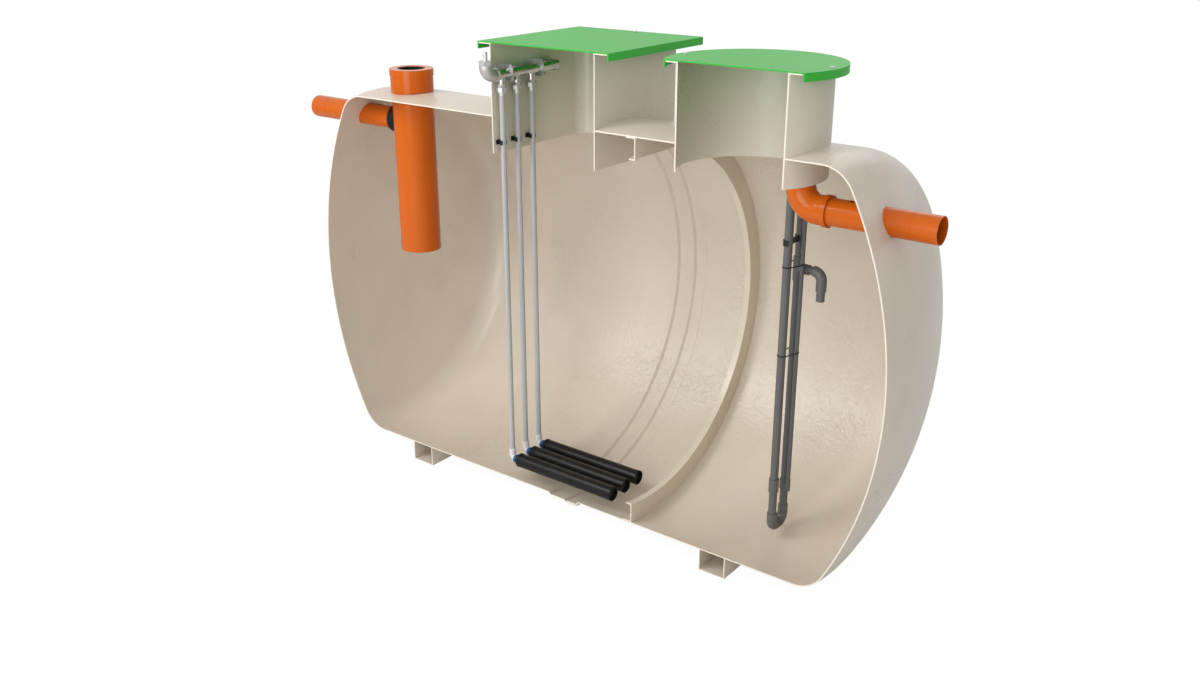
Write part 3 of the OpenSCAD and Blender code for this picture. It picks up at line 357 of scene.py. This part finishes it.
def turned(name, profile, centre, axis="z", steps=48):
    """A turned piece: the profile's rows, radius and height in millimetres and outline, are
    carried round an axis through the centre. A hexagon's radius at an angle is its corner
    radius times the cosine of 30 degrees, over the cosine of the angle to the nearest flat's
    middle. Rows at radius zero close the piece."""
    angle = np.linspace(0, 2 * math.pi, steps, endpoint=False)
    radius, height, outline = [column[:, None] for column in np.asarray(profile, float).T]
    sector = math.pi / 3
    hexagon = math.cos(sector / 2) / np.cos(angle % sector - sector / 2)
    reach = radius * (1 + outline * (hexagon - 1))
    x, y, z = reach * np.cos(angle), reach * np.sin(angle), height + 0 * angle
    points = np.stack({"z": (x, y, z), "x": (z, x, y)}[axis], -1)
    return grid_mesh(name, points * MM + np.asarray(centre, float))


def piece(name, meshes, finish):
    """Joins meshes into one piece, closes its poles, turns its faces outward and lets it ride."""
    joined = bmesh.new()
    for mesh in meshes:
        joined.from_mesh(mesh)
        bpy.data.meshes.remove(mesh)
    bmesh.ops.remove_doubles(joined, verts=joined.verts, dist=WELD)
    bmesh.ops.dissolve_degenerate(joined, edges=joined.edges, dist=SLIVER)
    bmesh.ops.recalc_face_normals(joined, faces=joined.faces)
    mesh = bpy.data.meshes.new(name)
    joined.to_mesh(mesh)
    joined.free()
    mesh.materials.append(FINISHES[finish])
    thing = bpy.data.objects.new(name, mesh)
    bpy.context.scene.collection.objects.link(thing)
    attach(thing, "root")


def lid_screw(centre):
    """A bevelled washer under a dome head with a hexagon recess: two turned profiles. The dome's
    radius falls with the cosine of an angle and its height rises with the sine."""
    shoulder = WASHER_R - WASHER_BEVEL_W
    washer = [(0, 0, ROUND), (shoulder, 0, ROUND), (WASHER_R, WASHER_BEVEL_T, ROUND),
              (WASHER_R, WASHER_T - WASHER_BEVEL_T, ROUND), (shoulder, WASHER_T, ROUND),
              (0, WASHER_T, ROUND)]
    rise = np.linspace(0, HEAD_CURVE, HEAD_STEPS)
    dome = np.stack([HEAD_R * np.cos(rise), WASHER_T + HEAD_RIM + HEAD_RISE * np.sin(rise),
                     ROUND + 0 * rise], -1)
    head = np.vstack([(0, WASHER_T, ROUND), (HEAD_R, WASHER_T, ROUND), dome,
                      (RECESS_R, RECESS_TOP, HEXAGON), (RECESS_R, RECESS_FLOOR, HEXAGON),
                      (0, RECESS_FLOOR, HEXAGON)])
    return [turned("washer", washer, centre), turned("head", head, centre)]


def collar_band(collar):
    """The blue collar's grip, carried a little way back over the mouth of the bottom elbow: a
    ring with one bevelled edge, turned round the collar's axis from the collar's near end."""
    low, high = box(collar)
    profile = [(BAND_BORE, -BAND_L, ROUND), (BAND_R - BAND_BEVEL, -BAND_L, ROUND),
               (BAND_R, BAND_BEVEL - BAND_L, ROUND), (BAND_R, 0, ROUND), (BAND_BORE, 0, ROUND),
               (BAND_BORE, -BAND_L, ROUND)]
    _, axis_y, axis_z = (low + high) / 2
    return turned("collar band", profile, (low[0], axis_y, axis_z), axis="x")


def lid_screws():
    """One screw behind on the rectangular lid and one on either side of the round lid."""
    low, high = box("rectangular_lid")
    places = [((low[0] + high[0]) / 2, high[1] - RECTANGULAR_LID_INSET, high[2])]
    low, high = box("round_lid")
    for x in (low[0] + ROUND_LID_INSET, high[0] - ROUND_LID_INSET):
        places.append((x, CUT_Y + AXIS_BEHIND_CUT, high[2]))
    return [mesh for place in places for mesh in lid_screw(place)]


piece("lid_screws", lid_screws(), "plated")
piece("collar_bands", [collar_band(name) for name in NODES if name.startswith("collar_")],
      "blue")


# ---------------------------------------------------------------- stage, light and camera
FLOOR_REACH = 60.0                   # metres from the part to each side
WHITE = (1.0, 1.0, 1.0)
FLOOR_GREY = (0.80, 0.80, 0.80)
FLOOR_GLOW = 1.04                    # just over white
FLOOR_SEEN_WHITE = 0.92              # the rest shows the part's shadow
FILL = 0.66                          # even light from all round
BACKDROP = 1.0


def pale_floor():
    """Pale floor: white to the camera, with the part's own soft shadow kept."""
    f = Finish(bpy.data.materials.new("pale floor"))
    plain = f.add("ShaderNodeBsdfDiffuse", {}, {"Color": rgba(FLOOR_GREY)})
    glow = f.add("ShaderNodeEmission", {}, {"Color": rgba(WHITE), "Strength": FLOOR_GLOW})
    seen = f.ray("Is Camera Ray") * FLOOR_SEEN_WHITE
    return f.finished(f.shader_blend(seen, plain, glow))


def studio():
    """World light: white to the camera and in reflections, a dimmer even fill for the rest."""
    f = Finish(bpy.data.worlds.new("studio"), output="ShaderNodeOutputWorld")
    fill = f.add("ShaderNodeBackground", {}, {"Color": rgba(WHITE), "Strength": FILL})
    white = f.add("ShaderNodeBackground", {}, {"Color": rgba(WHITE), "Strength": BACKDROP})
    seen = f.ray("Is Camera Ray").larger(f.ray("Is Glossy Ray"))
    return f.finished(f.shader_blend(seen, fill, white))


def soft_lamp(name, place, target, size, power):
    """A square area lamp at one point, facing another: metres and watts."""
    data = bpy.data.lights.new(name, "AREA")
    data.shape, data.size, data.energy = "SQUARE", size, power
    lamp = bpy.data.objects.new(name, data)
    lamp.location = place
    lamp.rotation_euler = (Vector(target) - Vector(place)).to_track_quat("-Z", "Y").to_euler()
    bpy.context.scene.collection.objects.link(lamp)


floor_mesh = bpy.data.meshes.new("floor")
floor_mesh.from_pydata([(-FLOOR_REACH, -FLOOR_REACH, 0), (FLOOR_REACH, -FLOOR_REACH, 0),
                        (FLOOR_REACH, FLOOR_REACH, 0), (-FLOOR_REACH, FLOOR_REACH, 0)],
                       [], [(0, 1, 2, 3)])
floor_mesh.materials.append(pale_floor())
floor = bpy.data.objects.new("floor", floor_mesh)
bpy.context.scene.collection.objects.link(floor)

bpy.context.scene.world = studio()
soft_lamp("key", place=(-2.6, -4.3, 4.9), target=(0, 0.2, 0.9), size=2.4, power=150)
soft_lamp("front", place=(1.2, -7.0, 2.6), target=(0, 0.4, 1.0), size=4.0, power=180)
soft_lamp("back", place=(0.5, 4.5, 5.0), target=(0, 0, 1.2), size=3.5, power=38)

# The picture's viewpoint, worked out from the tank's outline.
CAMERA_PLACE = (3.1478, -4.2902, 2.8098)     # metres
CAMERA_AZIMUTH = 37.148                      # degrees round to the right of straight on
CAMERA_ELEVATION = 21.108                    # degrees looking down
SENSOR_WIDTH, FOCAL_LENGTH = 36.0, 34.677    # millimetres
CLIP_END = 200.0                             # metres, past the floor's edge
camera_data = bpy.data.cameras.new("camera")
camera_data.sensor_width = SENSOR_WIDTH
camera_data.lens = FOCAL_LENGTH
camera_data.clip_end = CLIP_END
camera = bpy.data.objects.new("camera", camera_data)
camera.location = CAMERA_PLACE
camera.rotation_euler = (math.radians(90.0 - CAMERA_ELEVATION), 0.0,
                         math.radians(CAMERA_AZIMUTH))
bpy.context.scene.collection.objects.link(camera)
bpy.context.scene.camera = camera
bpy.context.scene.view_settings.view_transform = "Standard"
